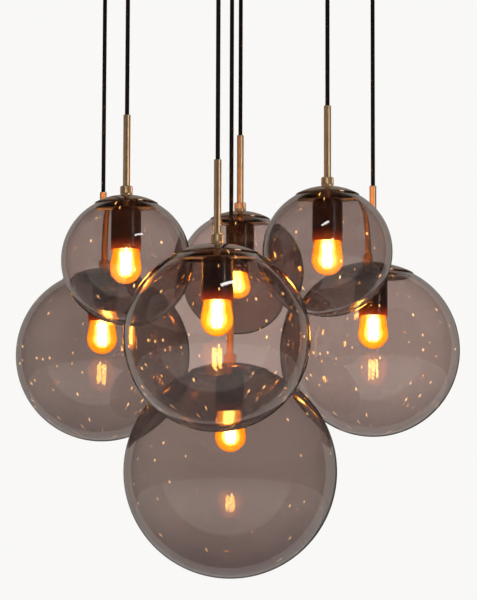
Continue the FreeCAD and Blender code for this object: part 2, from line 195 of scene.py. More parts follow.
def rounded(corners, steps=4):
    """An outline of (radius, height) points; a third number rounds that corner to its radius."""
    points = []
    for index, corner in enumerate(corners):
        here = Vector(corner[:2])
        if len(corner) < 3:
            points.append(here)
            continue
        before = (Vector(corners[index - 1][:2]) - here).normalized()
        after = (Vector(corners[(index + 1) % len(corners)][:2]) - here).normalized()
        half = before.angle(after) / 2
        middle = here + (before + after).normalized() * (corner[2] / math.sin(half))
        start = here + before * (corner[2] / math.tan(half)) - middle
        end = here + after * (corner[2] / math.tan(half)) - middle
        sweep = start.angle_signed(end)
        for step in range(steps + 1):
            turn = -sweep * step / steps
            points.append(middle + Matrix.Rotation(turn, 2) @ start)
    return points


def arc(middle, radius, start, end, steps):
    """Points on an upright arc; angles are counted from the top, in radians."""
    turns = [start + (end - start) * step / steps for step in range(steps + 1)]
    return [Vector((radius * math.sin(turn), middle + radius * math.cos(turn))) for turn in turns]


def polar(reach, turn, height=0.0):
    """A point by its distance from the upright axis, its turn about it and its height."""
    return Vector((reach * math.cos(turn), reach * math.sin(turn), height))


def turned(name, outline, around=96, shape=None, sharp=35):
    """A mesh turned about Z from a closed outline; shape may change a radius with the turn."""
    bm = bmesh.new()
    rings = []
    for radius, height in outline:
        if radius < 1e-6:
            rings.append([bm.verts.new((0, 0, height))])
            continue
        ring = []
        for step in range(around):
            reach = shape(radius, height, step / around) if shape else radius
            ring.append(bm.verts.new(polar(reach, 2 * math.pi * step / around, height)))
        rings.append(ring)
    for lower, upper in zip(rings, rings[1:] + rings[:1]):
        bridge(bm, lower, upper)
    return meshed(name, bm, sharp)


def bridge(bm, lower, upper):
    """Add the faces between two rings; a ring of one vertex is a tip."""
    around = max(len(lower), len(upper))
    for step in range(around):
        following = (step + 1) % around
        corners = dict.fromkeys((
            lower[step % len(lower)], lower[following % len(lower)],
            upper[following % len(upper)], upper[step % len(upper)],
        ))
        if len(corners) > 2:
            bm.faces.new(corners)


def meshed(name, bm, sharp=35):
    """The finished mesh of a bmesh, smooth but for its sharp edges."""
    bmesh.ops.recalc_face_normals(bm, faces=bm.faces)
    mesh = bpy.data.meshes.new(name)
    bm.to_mesh(mesh)
    bm.free()
    mesh.shade_smooth()
    mesh.set_sharp_from_angle(angle=math.radians(sharp))
    return mesh


def bend(bm, route, radius, around=8, steps=5):
    """Add a round wire along a route, bent smoothly at each point between its ends."""
    line = [route[0]]
    for before, corner, after in zip(route, route[1:], route[2:]):
        start, end = before.lerp(corner, 0.6), corner.lerp(after, 0.4)
        for step in range(steps + 1):
            part = step / steps
            line.append(start.lerp(corner, part).lerp(corner.lerp(end, part), part))
    line.append(route[-1])
    rings = []
    for index, point in enumerate(line):
        ahead = line[min(index + 1, len(line) - 1)] - line[max(index - 1, 0)]
        lean = ahead.to_track_quat("Z", "Y").to_matrix()
        rings.append([bm.verts.new(point + lean @ polar(radius, 2 * math.pi * side / around))
                      for side in range(around)])
    for lower, upper in zip(rings, rings[1:]):
        bridge(bm, lower, upper)
    bm.faces.new(rings[0])
    bm.faces.new(rings[-1])


def put(name, data, body, at, finish, turn=0.0, node=None):
    """Show a piece at its place on its body, standing for a solid where one is named."""
    piece = bpy.data.objects.new(name, data)
    bpy.context.scene.collection.objects.link(piece)
    piece.location = at
    piece.rotation_euler.z = turn
    if not data.materials:
        data.materials.append(finishes()[finish])
    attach(piece, body)
    if node:
        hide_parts(node)
    return piece


def gathered(label, prefixes):
    """A collection of the pieces whose names start with one of the prefixes."""
    collection = bpy.data.collections.new(label)
    for piece in bpy.data.objects:
        if piece.name.startswith(prefixes):
            collection.objects.link(piece)
    return collection


def dress(name, finish):
    """Give a carried-over solid its finish."""
    for place in frame["nodes"][name].material_slots:
        place.material = finishes()[finish]


def seat(name):
    """Where a drop's own frame starts: on the flat of its cap."""
    low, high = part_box(f"knurled_nut_{name}")
    return Vector(((low.x + high.x) / 2, (low.y + high.y) / 2, low.z))


def middle_of(name):
    """Height of a ball's middle in its drop's own frame."""
    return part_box(f"globe_{name}")[0].z + BALLS[name] - seat(name).z


def size_of(name):
    """small, medium or large."""
    return name.split("_")[0]


# Materials

def node(tree, kind, sockets=None, **settings):
    """Add a shader node; each socket takes a value or the output that feeds it."""
    made = tree.nodes.new(f"ShaderNode{kind}")
    for key, value in settings.items():
        setattr(made, key, value)
    for key, value in (sockets or {}).items():
        if isinstance(value, bpy.types.NodeSocket):
            tree.links.new(value, made.inputs[key])
        else:
            made.inputs[key].default_value = value
    return made


def blend(tree, factor, first, second):
    """A mix of two colours."""
    mix = node(tree, "Mix", data_type="RGBA")
    for index, value in ((0, factor), (6, first), (7, second)):
        if isinstance(value, bpy.types.NodeSocket):
            tree.links.new(value, mix.inputs[index])
        else:
            mix.inputs[index].default_value = (*value, 1) if index else value
    return mix.outputs[2]


def spread(tree, value, low, high, to_low=0.0, to_high=1.0):
    """A value moved from one range to another."""
    given = {"From Min": low, "From Max": high, "To Min": to_low, "To Max": to_high}
    return node(tree, "MapRange", {"Value": value, **given}).outputs["Result"]


def sums(tree, kind, first, second=0.0):
    """One sum on one or two values."""
    return node(tree, "Math", {0: first, 1: second}, operation=kind).outputs[0]


def own_place(tree):
    """The shaded point in its piece's own frame."""
    return node(tree, "TexCoord").outputs["Object"]


def own_axes(tree):
    """The three numbers of the shaded point in its piece's own frame."""
    return node(tree, "SeparateXYZ", {0: own_place(tree)}).outputs


def noise(tree, scale, detail):
    """Noise over a piece's own frame."""
    given = {"Vector": own_place(tree), "Scale": scale, "Detail": detail}
    return node(tree, "TexNoise", given).outputs["Fac"]


def new_group(name, inputs, outputs):
    """A shader node group with named number inputs and outputs."""
    tree = bpy.data.node_groups.new(name, "ShaderNodeTree")
    for label, default in inputs.items():
        socket = tree.interface.new_socket(label, in_out="INPUT", socket_type="NodeSocketFloat")
        socket.default_value = default
    for label in outputs:
        tree.interface.new_socket(label, in_out="OUTPUT", socket_type="NodeSocketFloat")
    return tree, tree.nodes.new("NodeGroupInput").outputs, tree.nodes.new("NodeGroupOutput").inputs


def handling_marks():
    """Group: cloudy patches and fine rubbed specks, as polished things get from handling."""
    tree, given, wanted = new_group(
        "Handling marks", {"Patch scale": 30.0, "Speck scale": 900.0}, ("Marks", "Height")
    )
    cloud = spread(tree, noise(tree, given[0], 4.0), 0.38, 0.66)
    speck = noise(tree, given[1], 2.0)
    tree.links.new(sums(tree, "MULTIPLY", cloud, speck), wanted["Marks"])
    tree.links.new(speck, wanted["Height"])
    return tree


def rubbed_edges():
    """Group: a mask of the corners that a cloth or a hand has rubbed."""
    tree, given, wanted = new_group(
        "Rubbed edges", {"From": 0.52, "To": 0.60, "Break-up scale": 250.0}, ("Mask",)
    )
    point = node(tree, "NewGeometry").outputs["Pointiness"]
    corner = spread(tree, point, given[0], given[1])
    tree.links.new(sums(tree, "MULTIPLY", corner, noise(tree, given[2], 3.0)), wanted["Mask"])
    return tree


def lathe_lines():
    """Group: the fine rings that turning, spinning or drawing leaves round the upright axis."""
    tree, given, wanted = new_group("Lathe lines", {"Rings per metre": 3000.0}, ("Height",))
    level = sums(tree, "MULTIPLY", own_axes(tree)["Z"], given[0])
    rings = node(tree, "TexNoise", {"W": level, "Scale": 1.0, "Detail": 2.0}, noise_dimensions="1D")
    tree.links.new(rings.outputs["Fac"], wanted["Height"])
    return tree


def shared(make):
    """A shared group, built the first time that a material asks for it."""
    if make not in shared.made:
        shared.made[make] = make()
    return shared.made[make]


shared.made = {}


def grouped(tree, make, values):
    """Outputs of a shared group placed with this material's own values."""
    return node(tree, "Group", values, node_tree=shared(make)).outputs


def principled(name, **sockets):
    """A new material with its Principled shader."""
    material = bpy.data.materials.new(name)
    material.use_nodes = True
    tree = material.node_tree
    shader = tree.nodes["Principled BSDF"]
    for key, value in sockets.items():
        shader.inputs[key.replace("_", " ")].default_value = value
    return material, tree, shader


def feed(shader, socket, value):
    """Let another node's output drive a socket of the shader."""
    shader.id_data.links.new(value, shader.inputs[socket])


def raised(tree, shader, height, strength, distance):
    """Feed a height into the shader's normal."""
    bump = node(tree, "Bump", {"Height": height, "Strength": strength, "Distance": distance})
    feed(shader, "Normal", bump.outputs["Normal"])


def metal(name, clean, dull, worn, rough, polish, rings=0.0, wear=0.15):
    """A metal with duller patches, brighter rubbed edges and, where it was turned, fine rings."""
    material, tree, shader = principled(name, Metallic=1.0)
    marks = grouped(tree, handling_marks, {"Patch scale": 35.0, "Speck scale": 1400.0})
    edges = grouped(tree, rubbed_edges, {})
    body = blend(tree, spread(tree, marks["Marks"], 0.0, 0.7), clean, dull)
    feed(shader, "Base Color", blend(tree, edges["Mask"], body, worn))
    feed(shader, "Roughness", spread(tree, marks["Marks"], 0.0, 0.6, polish, rough))
    height = marks["Height"]
    if rings:
        height = grouped(tree, lathe_lines, {"Rings per metre": rings})["Height"]
    raised(tree, shader, height, wear, 0.00004)
    return material


def smoked_glass(name, tint, foot, radius, middle, glint_share):
    """Blown glass, darker at its foot and where its wall is seen edge on, with a few painted glints
    of the bulbs' light.
    """
    material, tree, shader = principled(
        name, Roughness=0.0, IOR=1.75, Transmission_Weight=1.0, Emission_Strength=1.0
    )
    apart = own_axes(tree)
    uneven = spread(tree, noise(tree, 9.0, 2.0), 0.3, 0.7, -0.1, 0.1)
    height = sums(tree, "ADD", apart["Z"], sums(tree, "MULTIPLY", uneven, radius))
    depth = spread(tree, height, -1.35 * radius, -1.9 * radius)
    body = blend(tree, depth, tint, foot)
    edge_on = node(tree, "LayerWeight", {"Blend": 0.5}).outputs["Facing"]
    limb = spread(tree, edge_on, 0.84, 0.97, 0.0, 0.95)
    dark = tuple(part * part for part in foot)
    feed(shader, "Base Color", blend(tree, limb, body, dark))
    # Painted glints: small drawn-out specks that glow in place of the bulbs' light reflected by the
    # glass, brighter near the bulb.
    turn = sums(tree, "ARCTAN2", apart["Y"], apart["X"])
    across = sums(tree, "MULTIPLY", turn, radius / PAINTED_GLINT_SPACING)
    along = sums(tree, "MULTIPLY", apart["Z"], 0.5 / PAINTED_GLINT_SPACING)
    flat = node(tree, "CombineXYZ", {0: across, 1: along}).outputs[0]
    cells = node(tree, "TexVoronoi", {"Vector": flat, "Scale": 1.0}, voronoi_dimensions="2D")
    glint_spot = spread(tree, cells.outputs["Distance"], 0.09, 0.05)
    chance = node(tree, "SeparateColor", {0: cells.outputs["Color"]}).outputs[0]
    few = spread(tree, chance, 1.0 - glint_share, 1.0)
    reach = node(tree, "VectorMath", {0: own_place(tree), 1: (0, 0, middle)}, operation="DISTANCE")
    lit = spread(tree, reach.outputs["Value"], 0.07, 0.15, 1.0, 0.5)
    bright = sums(tree, "MULTIPLY", sums(tree, "MULTIPLY", glint_spot, few), lit)
    feed(shader, "Emission Color", blend(tree, bright, (0, 0, 0), PAINTED_GLINT_LIGHT))
    return material


def amber_glass(tint, glow):
    """Amber glass of a bulb: clear for the most part, with a lustre that scatters its own light."""
    material, tree, shader = principled(
        "amber glass", Roughness=0.0, IOR=1.45, Transmission_Weight=1.0, Emission_Strength=1.0
    )
    patches = spread(tree, noise(tree, 90.0, 2.0), 0.3, 0.7)
    deeper = tuple(part * part for part in tint)
    edge_on = node(tree, "LayerWeight", {"Blend": 0.5}).outputs["Facing"]
    body = blend(tree, patches, tint, deeper)
    rim = blend(tree, spread(tree, edge_on, 0.45, 0.95), body, AMBER_RIM)
    feed(shader, "Base Color", rim)
    sheen = blend(tree, spread(tree, edge_on, 0.14, 0.7), AMBER_SHEEN, glow)
    uneven = blend(tree, patches, sheen, tuple(part * 0.9 for part in glow))
    halo = blend(tree, 0.3, sheen, uneven)
    core = blend(tree, spread(tree, edge_on, 0.11, 0.05), halo, AMBER_CORE)
    path = node(tree, "LightPath").outputs
    # A lit bulb is brighter than white, so the smoke of another ball in front hardly dims it.
    dimmed = sums(tree, "GREATER_THAN", path["Transmission Depth"], SURFACES_OF_OWN_BALL)
    fierce = node(tree, "VectorMath", {0: core, 1: BEHIND_SMOKE}, operation="MULTIPLY")
    bright = blend(tree, dimmed, core, fierce.outputs[0])
    mirrored = sums(tree, "GREATER_THAN", path["Glossy Depth"], 0.5)
    feed(shader, "Emission Color", blend(tree, mirrored, bright, AMBER_MIRRORED))
    lustre = node(tree, "BsdfPrincipled", {
        "Roughness": 0.5, "IOR": 1.45, "Transmission Weight": 1.0, "Base Color": AMBER_LUSTRE})
    both = node(tree, "MixShader", {0: 0.05, 1: shader.outputs[0], 2: lustre.outputs[0]})
    tree.links.new(both.outputs[0], tree.nodes["Material Output"].inputs["Surface"])
    return material


def clear_glass():
    """Clear glass of the stem inside a bulb, drawn by hand and so a little uneven."""
    material, tree, shader = principled(
        "clear glass", Roughness=0.03, IOR=1.5, Transmission_Weight=1.0
    )
    waves = noise(tree, 160.0, 1.0)
    tint = blend(tree, waves, (0.96, 0.97, 0.96), (1.0, 1.0, 1.0))
    feed(shader, "Base Color", tint)
    raised(tree, shader, waves, 0.2, 0.0004)
    return material


def glowing(light):
    """Phosphor coat of a glowing rod, white-hot in the middle and yellower at its ends."""
    material, tree, shader = principled("filament", Roughness=0.6, Emission_Strength=900.0)
    material.cycles.emission_sampling = "NONE"
    away = sums(tree, "ABSOLUTE", sums(tree, "SUBTRACT", own_axes(tree)["Z"], ROD_MIDDLE))
    ends = spread(tree, away, 10 * MM, 18 * MM)
    hot = blend(tree, ends, tuple(0.5 + part / 2 for part in light), light)
    grain = spread(tree, noise(tree, 2500.0, 1.0), 0.4, 0.8, 0.0, 0.25)
    speckled = blend(tree, grain, hot, light)
    feed(shader, "Emission Color", speckled)
    feed(shader, "Base Color", speckled)
    return material


def moulded_black(black):
    """Glossy black of a lampholder, with the grain of its mould and a painted glow of the bulb's
    light on its lip.
    """
    material, tree, shader = principled("moulded black", IOR=1.7, Emission_Strength=1.0)
    marks = grouped(tree, handling_marks, {"Patch scale": 60.0, "Speck scale": 2600.0})
    edges = grouped(tree, rubbed_edges, {"From": 0.53, "To": 0.62})
    dusty = tuple(part * 1.5 + 0.001 for part in black)
    body = blend(tree, spread(tree, marks["Marks"], 0.1, 0.8), black, dusty)
    feed(shader, "Base Color", blend(tree, edges["Mask"], body, dusty))
    feed(shader, "Roughness", spread(tree, marks["Marks"], 0.0, 0.6, 0.13, 0.20))
    # Painted glow: an emission that rises towards the lip, in place of the bulb's light falling on
    # it.
    share = node(tree, "SeparateXYZ", {0: node(tree, "TexCoord").outputs["Generated"]}).outputs["Z"]
    near = spread(tree, share, 0.34, 0.0)
    glow = sums(tree, "POWER", near, 2.2)
    feed(shader, "Emission Color", blend(tree, glow, PAINTED_LIP_SHADE, PAINTED_LIP_GLOW))
    raised(tree, shader, marks["Height"], 0.1, 0.00003)
    return material


def black_flex(black):
    """Black sheath of round flex: fine lines of its braid and a little dust between them."""
    material, tree, shader = principled("black flex", Specular_IOR_Level=0.2)
    apart = own_axes(tree)
    turn = sums(tree, "ARCTAN2", apart["Y"], apart["X"])
    spokes = sums(tree, "MULTIPLY", turn, 12.0)
    climb = sums(tree, "MULTIPLY", apart["Z"], 3600.0)
    right = sums(tree, "SINE", sums(tree, "ADD", spokes, climb))
    left = sums(tree, "SINE", sums(tree, "SUBTRACT", spokes, climb))
    braid = sums(tree, "MULTIPLY", right, left)
    dusty = tuple(part * 2 + 0.001 for part in black)
    feed(shader, "Base Color", blend(tree, spread(tree, braid, -1.0, 0.2, 1.0, 0.0), black, dusty))
    feed(shader, "Roughness", spread(tree, braid, -1.0, 1.0, 0.85, 0.65))
    raised(tree, shader, braid, 0.15, 0.00005)
    return material


def glass_tints(look, name):
    """Body and foot tints of one ball: no two blown balls are quite the same depth of colour."""
    body = tuple(min(1, part * PALENESS[name]) for part in look.smoke)
    thin = FOOT_THINNED[size_of(name)]
    return body, tuple(a + (b - a) * thin for a, b in zip(look.smoke_foot, body))


def finishes():
    """The finishes by name, built once."""
    if not finishes.made:
        look = bpy.context.scene.pendant_colours
        brass, dull = tuple(look.brass), tuple(look.brass_tarnish)
        bronze, worn = tuple(look.bronze), tuple(look.bronze_worn)
        steel = tuple(look.steel)
        darker = tuple(part * 0.72 for part in bronze)
        paler = tuple(part ** 0.6 for part in brass)
        finishes.made.update(
            brass=metal("satin brass", brass, dull, paler, 0.42, 0.36, wear=0.06),
            bright_brass=metal("polished brass", brass, dull, paler, 0.17, 0.13, wear=0.06),
            bronze=metal("polished bronze", bronze, darker, worn, 0.17, 0.07),
            steel=metal("plated steel", steel, tuple(p * 0.7 for p in steel),
                        tuple(p ** 0.7 for p in steel), 0.42, 0.28),
            nickel=metal("nickelled base", (0.66, 0.62, 0.55), (0.45, 0.41, 0.35),
                         (0.8, 0.76, 0.7), 0.35, 0.2, rings=1800.0),
            amber=amber_glass(tuple(look.amber), tuple(look.glow)),
            clear=clear_glass(),
            filament=glowing(tuple(look.filament)),
            holder=moulded_black(tuple(look.holder)),
            flex=black_flex(tuple(look.flex)),
        )
        for name in DROPS:
            finishes.made[f"smoke_{name}"] = smoked_glass(
                f"smoked glass {name}", *glass_tints(look, name), BALLS[name], middle_of(name),
                PAINTED_GLINT_SHARES[size_of(name)])
    return finishes.made


finishes.made = {}


# Cords, each with the route points of its own cord solid, from the grip down into the stem

ROUTES = {
    "small_left": ((-0.1403, -0.081, -0.044), (-0.1403, -0.081, -0.170), (-0.1403, -0.081, -0.299)),
    "small_right": ((0.1403, -0.081, -0.044), (0.1403, -0.081, -0.165), (0.1403, -0.081, -0.289)),
    "small_back": ((0, 0.162, -0.044), (0, 0.162, -0.165), (0, 0.162, -0.287)),
    "medium_front": ((0, -0.228, -0.044), (0, -0.228, -0.216), (0, -0.228, -0.388)),
    "medium_left": ((-0.1975, 0.114, -0.044), (-0.1975, 0.114, -0.211), (-0.1975, 0.114, -0.378)),
    "medium_right": ((0.1975, 0.114, -0.044), (0.1975, 0.114, -0.208), (0.1975, 0.114, -0.372)),
    "large_centre": ((0, 0, -0.044), (0, 0, -0.286), (0, 0, -0.528)),
}


class PENDANT_OT_cords(bpy.types.Operator):
    """Hang the seven black cords"""

    bl_idname = "pendant.cords"
    bl_label = "Cords"

    def execute(self, context):
        sizes = context.scene.pendant_sizes
        for name, route in ROUTES.items():
            line = bpy.data.curves.new(f"flex_{name}", "CURVE")
            line.dimensions = "3D"
            line.bevel_depth = sizes.cord_radius
            line.bevel_resolution = 8
            line.resolution_u = 24
            line.use_fill_caps = True
            spline = line.splines.new("NURBS")
            spline.points.add(len(route) - 1)
            top = Vector(route[0])
            for point, at in zip(spline.points, route):
                point.co = (*(Vector(at) - top), 1)
            spline.order_u = 3
            spline.use_endpoint_u = True
            piece = put(f"flex_{name}", line, f"drop_{name}", top, "flex",
                        node=f"cord_{name}")
        return {"FINISHED"}


class PENDANT_OT_globes(bpy.types.Operator):
    """Blow the seven smoked glass globes"""

    bl_idname = "pendant.globes"
    bl_label = "Globes"

    def execute(self, context):
        sizes = context.scene.pendant_sizes
        wall, lip = sizes.glass_wall, sizes.glass_lip
        blown = {}
        for name in DROPS:
            size, radius = size_of(name), BALLS[name]
            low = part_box(f"globe_{name}")[0].z
            at = seat(name)
            if size not in blown:
                middle = low + radius - at.z
                mouth = getattr(sizes, f"{size}_mouth")
                start = math.asin((mouth + lip) / (radius - wall / 2))
                outside = arc(middle, radius, math.pi, start, 84)
                inside = arc(middle, radius - wall, start, math.pi, 84)
                halfway = (outside[-1] + inside[0]) / 2
                across = outside[-1] - halfway
                ahead = Vector((-math.cos(start), math.sin(start))) * lip
                edge = [halfway + across * math.cos(turn) + ahead * math.sin(turn)
                        for turn in (math.pi * step / 12 for step in range(1, 12))]
                blown[size] = turned(f"globe_{size}", outside + edge + inside, 160, sharp=60)
            piece = put(f"blown_globe_{name}", blown[size].copy(), f"drop_{name}",
                        at, f"smoke_{name}", node=f"globe_{name}")
            # A shadow of the clear glass would keep light from the pieces inside.
            piece.visible_shadow = False
        return {"FINISHED"}


class PENDANT_OT_caps(bpy.types.Operator):
    """Press the shallow bronze caps over the mouths of the globes"""

    bl_idname = "pendant.caps"
    bl_label = "Caps"

    def execute(self, context):
        sizes = context.scene.pendant_sizes
        bore, sheet = sizes.stem_radius + BORE_FIT, sizes.cap_sheet
        pressed = {}
        for name in DROPS:
            size = size_of(name)
            if size not in pressed:
                low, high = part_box(f"cap_{name}")
                rim = (high.x - low.x) / 2
                inner = BALLS[name] + sizes.cap_gap
                middle = -(inner + sheet - sizes.cap_land)
                outer = inner + sheet
                flat = math.sqrt(outer * outer - middle * middle)
                dome = arc(middle, outer, math.asin(flat / outer), math.asin(rim / outer), 30)
                hollow = arc(middle, inner, math.asin(rim / inner), math.asin(bore / inner), 30)
                outline = [(bore, 0), (flat - 0.3 * MM, 0)] + [tuple(p) for p in dome[1:-1]]
                outline += [(*dome[-1], 0.55 * MM), (*hollow[0], 0.45 * MM)]
                outline += [tuple(p) for p in hollow[2:]]
                pressed[size] = turned(f"cap_{size}", rounded(outline, 5), 128, sharp=40)
            put(f"pressed_cap_{name}", pressed[size], f"drop_{name}", seat(name),
                "bronze", node=f"cap_{name}")
        return {"FINISHED"}


class PENDANT_OT_stems(bpy.types.Operator):
    """Turn the brass stems, threaded at the foot"""

    bl_idname = "pendant.stems"
    bl_label = "Stems"

    def execute(self, context):
        sizes = context.scene.pendant_sizes
        outer, bore, pitch = sizes.stem_radius, sizes.stem_bore, sizes.thread_pitch
        at = seat("large_centre")
        low, high = (corner.z - at.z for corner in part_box("stem_large_centre"))
        root, crest = outer - 0.55 * pitch, outer - 0.05 * pitch
        outline = [(bore, high, 0.25 * MM), (bore, low), (outer - 0.6 * pitch, low)]
        for turn in range(int((-low - pitch) / pitch)):
            foot = low + 0.3 * pitch + turn * pitch
            outline += [(root, foot), (crest, foot + 0.42 * pitch), (crest, foot + 0.58 * pitch)]
        outline += [(root, 0), (outer, 0.5 * MM)]
        # Rings along the plain tube keep the rubbed-edge mask at its ends.
        outline += [(outer, 2 * MM + (high - 4 * MM) * step / 12) for step in range(13)]
        outline += [(outer, high, 0.5 * MM)]
        mesh = turned("stem", rounded(outline), 64, sharp=50)
        for name in DROPS:
            put(f"brass_stem_{name}", mesh, f"drop_{name}", seat(name), "brass",
                node=f"stem_{name}")
        return {"FINISHED"}


class PENDANT_OT_nuts(bpy.types.Operator):
    """Turn and knurl the nuts that clamp the caps"""

    bl_idname = "pendant.nuts"
    bl_label = "Knurled nuts"

    def execute(self, context):
        sizes = context.scene.pendant_sizes
        radius, collar, depth = sizes.nut_radius, sizes.nut_collar, sizes.knurl_depth
        bore, teeth = sizes.stem_radius + BORE_FIT, sizes.knurl_teeth
        low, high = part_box("knurled_nut_large_centre")
        tall = high.z - low.z
        start, end = collar + 0.8 * MM, tall - 0.9 * MM
        plain = radius - 0.4 * MM
        neck = plain - 0.5 * MM

        def knurl(reach, height, turn):
            """Cut the teeth into the band: a narrow flat on each ridge and sloping sides."""
            if not start - 1e-6 < height < end + 1e-6:
                return reach
            across = abs((turn * teeth) % 1 - 0.5) * 2
            cut = min(1, max(0, 1.15 * (1 - across) - 0.08))
            return min(reach, radius - depth * cut)

        band = [start + (end - start) * step / 8 for step in range(9)]
        outline = [(bore, 0), (plain, 0, 0.3 * MM), (plain, collar, 0.3 * MM),
                   (neck, collar + 0.05 * MM), (neck, start - 0.35 * MM)]
        outline += [(radius, height) for height in band]
        outline += [(radius - 0.75 * MM, tall - 0.1 * MM), (bore + 0.9 * MM, tall),
                    (bore, tall - 0.7 * MM)]
        mesh = turned("knurled_nut", rounded(outline), teeth * 8, knurl, sharp=40)
        for count, name in enumerate(DROPS):
            put(f"turned_nut_{name}", mesh, f"nut_{name}", seat(name), "brass",
                NUT_TURN * count, f"knurled_nut_{name}")
        return {"FINISHED"}


class PENDANT_OT_bulbs(bpy.types.Operator):
    """Make the small round filament bulbs: glass, glass stem, glowing rods, wires and screw base"""

    bl_idname = "pendant.bulbs"
    bl_label = "Bulbs"

    def execute(self, context):
        sizes = context.scene.pendant_sizes
        at = seat("large_centre")
        low, high = (corner.z - at.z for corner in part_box("bulb_large_centre"))
        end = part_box("lampholder_large_centre")[0].z - at.z
        glass = self.envelope(sizes, low, end)
        base = self.screw_base(sizes, end, high)
        rods = self.rods(sizes, low, end)
        pump = self.pump(low, end)
        wires = self.wires(low, end)
        shaded = gathered("caps and cords in the shade of the lampholders", ("pressed_cap", "flex"))
        for link in shaded.collection_objects:
            link.light_linking.link_state = "EXCLUDE"
        for count, name in enumerate(DROPS):
            body, turn, here = f"lamp_{name}", FIRST_BULB_TURN + BULB_TURN * count, seat(name)
            parts = (
                ("bulb_glass", glass, "amber_glass", "amber"),
                ("bulb_base", base, "steel", "nickel"),
                ("bulb_filament", rods, "amber_glass", "filament"),
                ("bulb_stem", pump, "amber_glass", "clear"),
                ("bulb_wires", wires, "steel", "nickel"),
            )
            for label, data, slot, finish in parts:
                piece = put(f"{label}_{name}", data, body, here, finish, turn,
                            f"bulb_{name}")
                piece.visible_shadow = finish == "nickel"
                piece.visible_diffuse = finish != "filament"
            # The rods would light other things in bright specks, so this lamp does it for them.
            light = bpy.data.lights.new(f"bulb_light_{name}", "POINT")
            light.shadow_soft_size, light.energy = BULB_LIGHT_RADIUS, BULB_WATTS
            light.color = context.scene.pendant_colours.lamplight
            lamp = bpy.data.objects.new(light.name, light)
            lamp.location = here + Vector((0, 0, low + sizes.bulb_radius))
            lamp.visible_camera = lamp.visible_transmission = False
            lamp.light_linking.receiver_collection = shaded
            context.scene.collection.objects.link(lamp)
        return {"FINISHED"}

    def envelope(self, sizes, low, end):
        """The ball, drawn tangent into the neck, with its inside."""
        shells = []
        for inset in (0, sizes.bulb_wall):
            radius, neck = sizes.bulb_radius - inset, sizes.bulb_neck - inset
            middle, top = low + sizes.bulb_radius, end + NECK_INSIDE
            rise = top - middle
            lean = math.atan2(neck, rise) + math.acos(radius / math.hypot(neck, rise))
            ball = arc(middle, radius, math.pi, lean, 40)
            foot = ball[-1]
            neck_end = Vector((neck, top))
            drawn = [foot.lerp(neck_end, step / 8) for step in range(1, 8)]
            shells.append((ball + drawn, neck_end))
        outside, edge = shells[0]
        inside, inner_edge = shells[1]
        shoulder = rounded([
            tuple(outside[-1]), (*edge, 2.2 * MM), (sizes.base_radius, edge.y + 0.2 * MM),
            (sizes.base_radius - sizes.bulb_wall, edge.y - 0.2 * MM),
            (inner_edge.x, inner_edge.y - 0.8 * MM, 1.6 * MM), tuple(inside[-1]),
        ], 6)
        return turned("bulb_glass", outside[:-1] + shoulder + inside[-2::-1], 96, sharp=70)

    def screw_base(self, sizes, end, high):
        """The threaded shell, its insulator's taper and the contact."""
        radius, foot = sizes.base_radius, end + NECK_INSIDE
        root = radius - 1.0 * MM
        outline = [(0, foot), (radius, foot, 0.4 * MM)]
        pitch, top = 3.6 * MM, high - 3.4 * MM
        height = foot + 3 * MM
        while height + pitch < top:
            outline += [(root, height, 0.6 * MM), (radius, height + pitch / 2, 0.7 * MM)]
            height += pitch
        outline += [(root, top - 0.4 * MM), (radius - 3 * MM, top),
                    (5 * MM, high - 0.6 * MM), (4 * MM, high), (0, high)]
        return turned("bulb_base", rounded(outline), 72, sharp=50)

    def rods(self, sizes, low, end):
        """Four glowing rods round the glass stem, a little closer at the foot."""
        bm = bmesh.new()
        radius, top, foot = sizes.filament_radius, end - 2.5 * MM, low + 11 * MM
        ease = 0.9 * radius
        for quarter in range(4):
            turn = math.pi / 2 * quarter
            lower = polar(ROD_FOOT, turn, foot)
            line = polar(ROD_TOP, turn, top) - lower
            outline = rounded([(0, 0), (radius, 0, ease), (radius, line.length, ease),
                               (0, line.length)])
            rod = turned("rod", outline, 14)
            lean = line.to_track_quat("Z", "Y").to_matrix().to_4x4()
            rod.transform(Matrix.Translation(lower) @ lean)
            bm.from_mesh(rod)
            bpy.data.meshes.remove(rod)
        return meshed("bulb_filament", bm, 60)

    def pump(self, low, end):
        """The glass stem: flare, pinch and the thin post that carries the lower wires."""
        foot = low + 9.5 * MM
        outline = [(0, foot), (1.1 * MM, foot, 1.0 * MM), (1.1 * MM, end - 9 * MM, 2 * MM),
                   (2.9 * MM, end - 5 * MM, 2 * MM), (3.3 * MM, end + 1 * MM, 3 * MM),
                   (9 * MM, end + 7.5 * MM, 0.4 * MM), (8.4 * MM, end + 8 * MM), (0, end + 6 * MM)]
        return turned("bulb_stem", rounded(outline, 6), 40, sharp=60)

    def wires(self, low, end):
        """Bent wires from the stem to both ends of each rod."""
        bm = bmesh.new()
        lower = ((0, low + 12.5 * MM), (2.2 * MM, low + 10.5 * MM), (4.6 * MM, low + 9.6 * MM),
                 (ROD_FOOT, low + 11.8 * MM))
        upper = ((2.6 * MM, end + 1.5 * MM), (5 * MM, end + 1.8 * MM), (6.7 * MM, end + 0.6 * MM),
                 (ROD_TOP, end - 3.4 * MM))
        for quarter in range(4):
            turn = math.pi / 2 * quarter
            for route in (lower, upper):
                bend(bm, [polar(reach, turn, height) for reach, height in route], WIRE_RADIUS)
        return meshed("bulb_wires", bm, 60)


class PENDANT_OT_finish_solids(bpy.types.Operator):
    """Give the carried-over solids their finishes"""

    bl_idname = "pendant.finish_solids"
    bl_label = "Canopy, grips, bars and lampholders"

    def execute(self, context):
        dress("canopy", "bronze")
        dress("canopy_nuts", "bright_brass")
        dress("cord_grips", "bright_brass")
        dress("ceiling_bracket", "steel")
        for name in DROPS:
            dress(f"glass_bar_{name}", "steel")
            dress(f"lampholder_{name}", "holder")
        return {"FINISHED"}


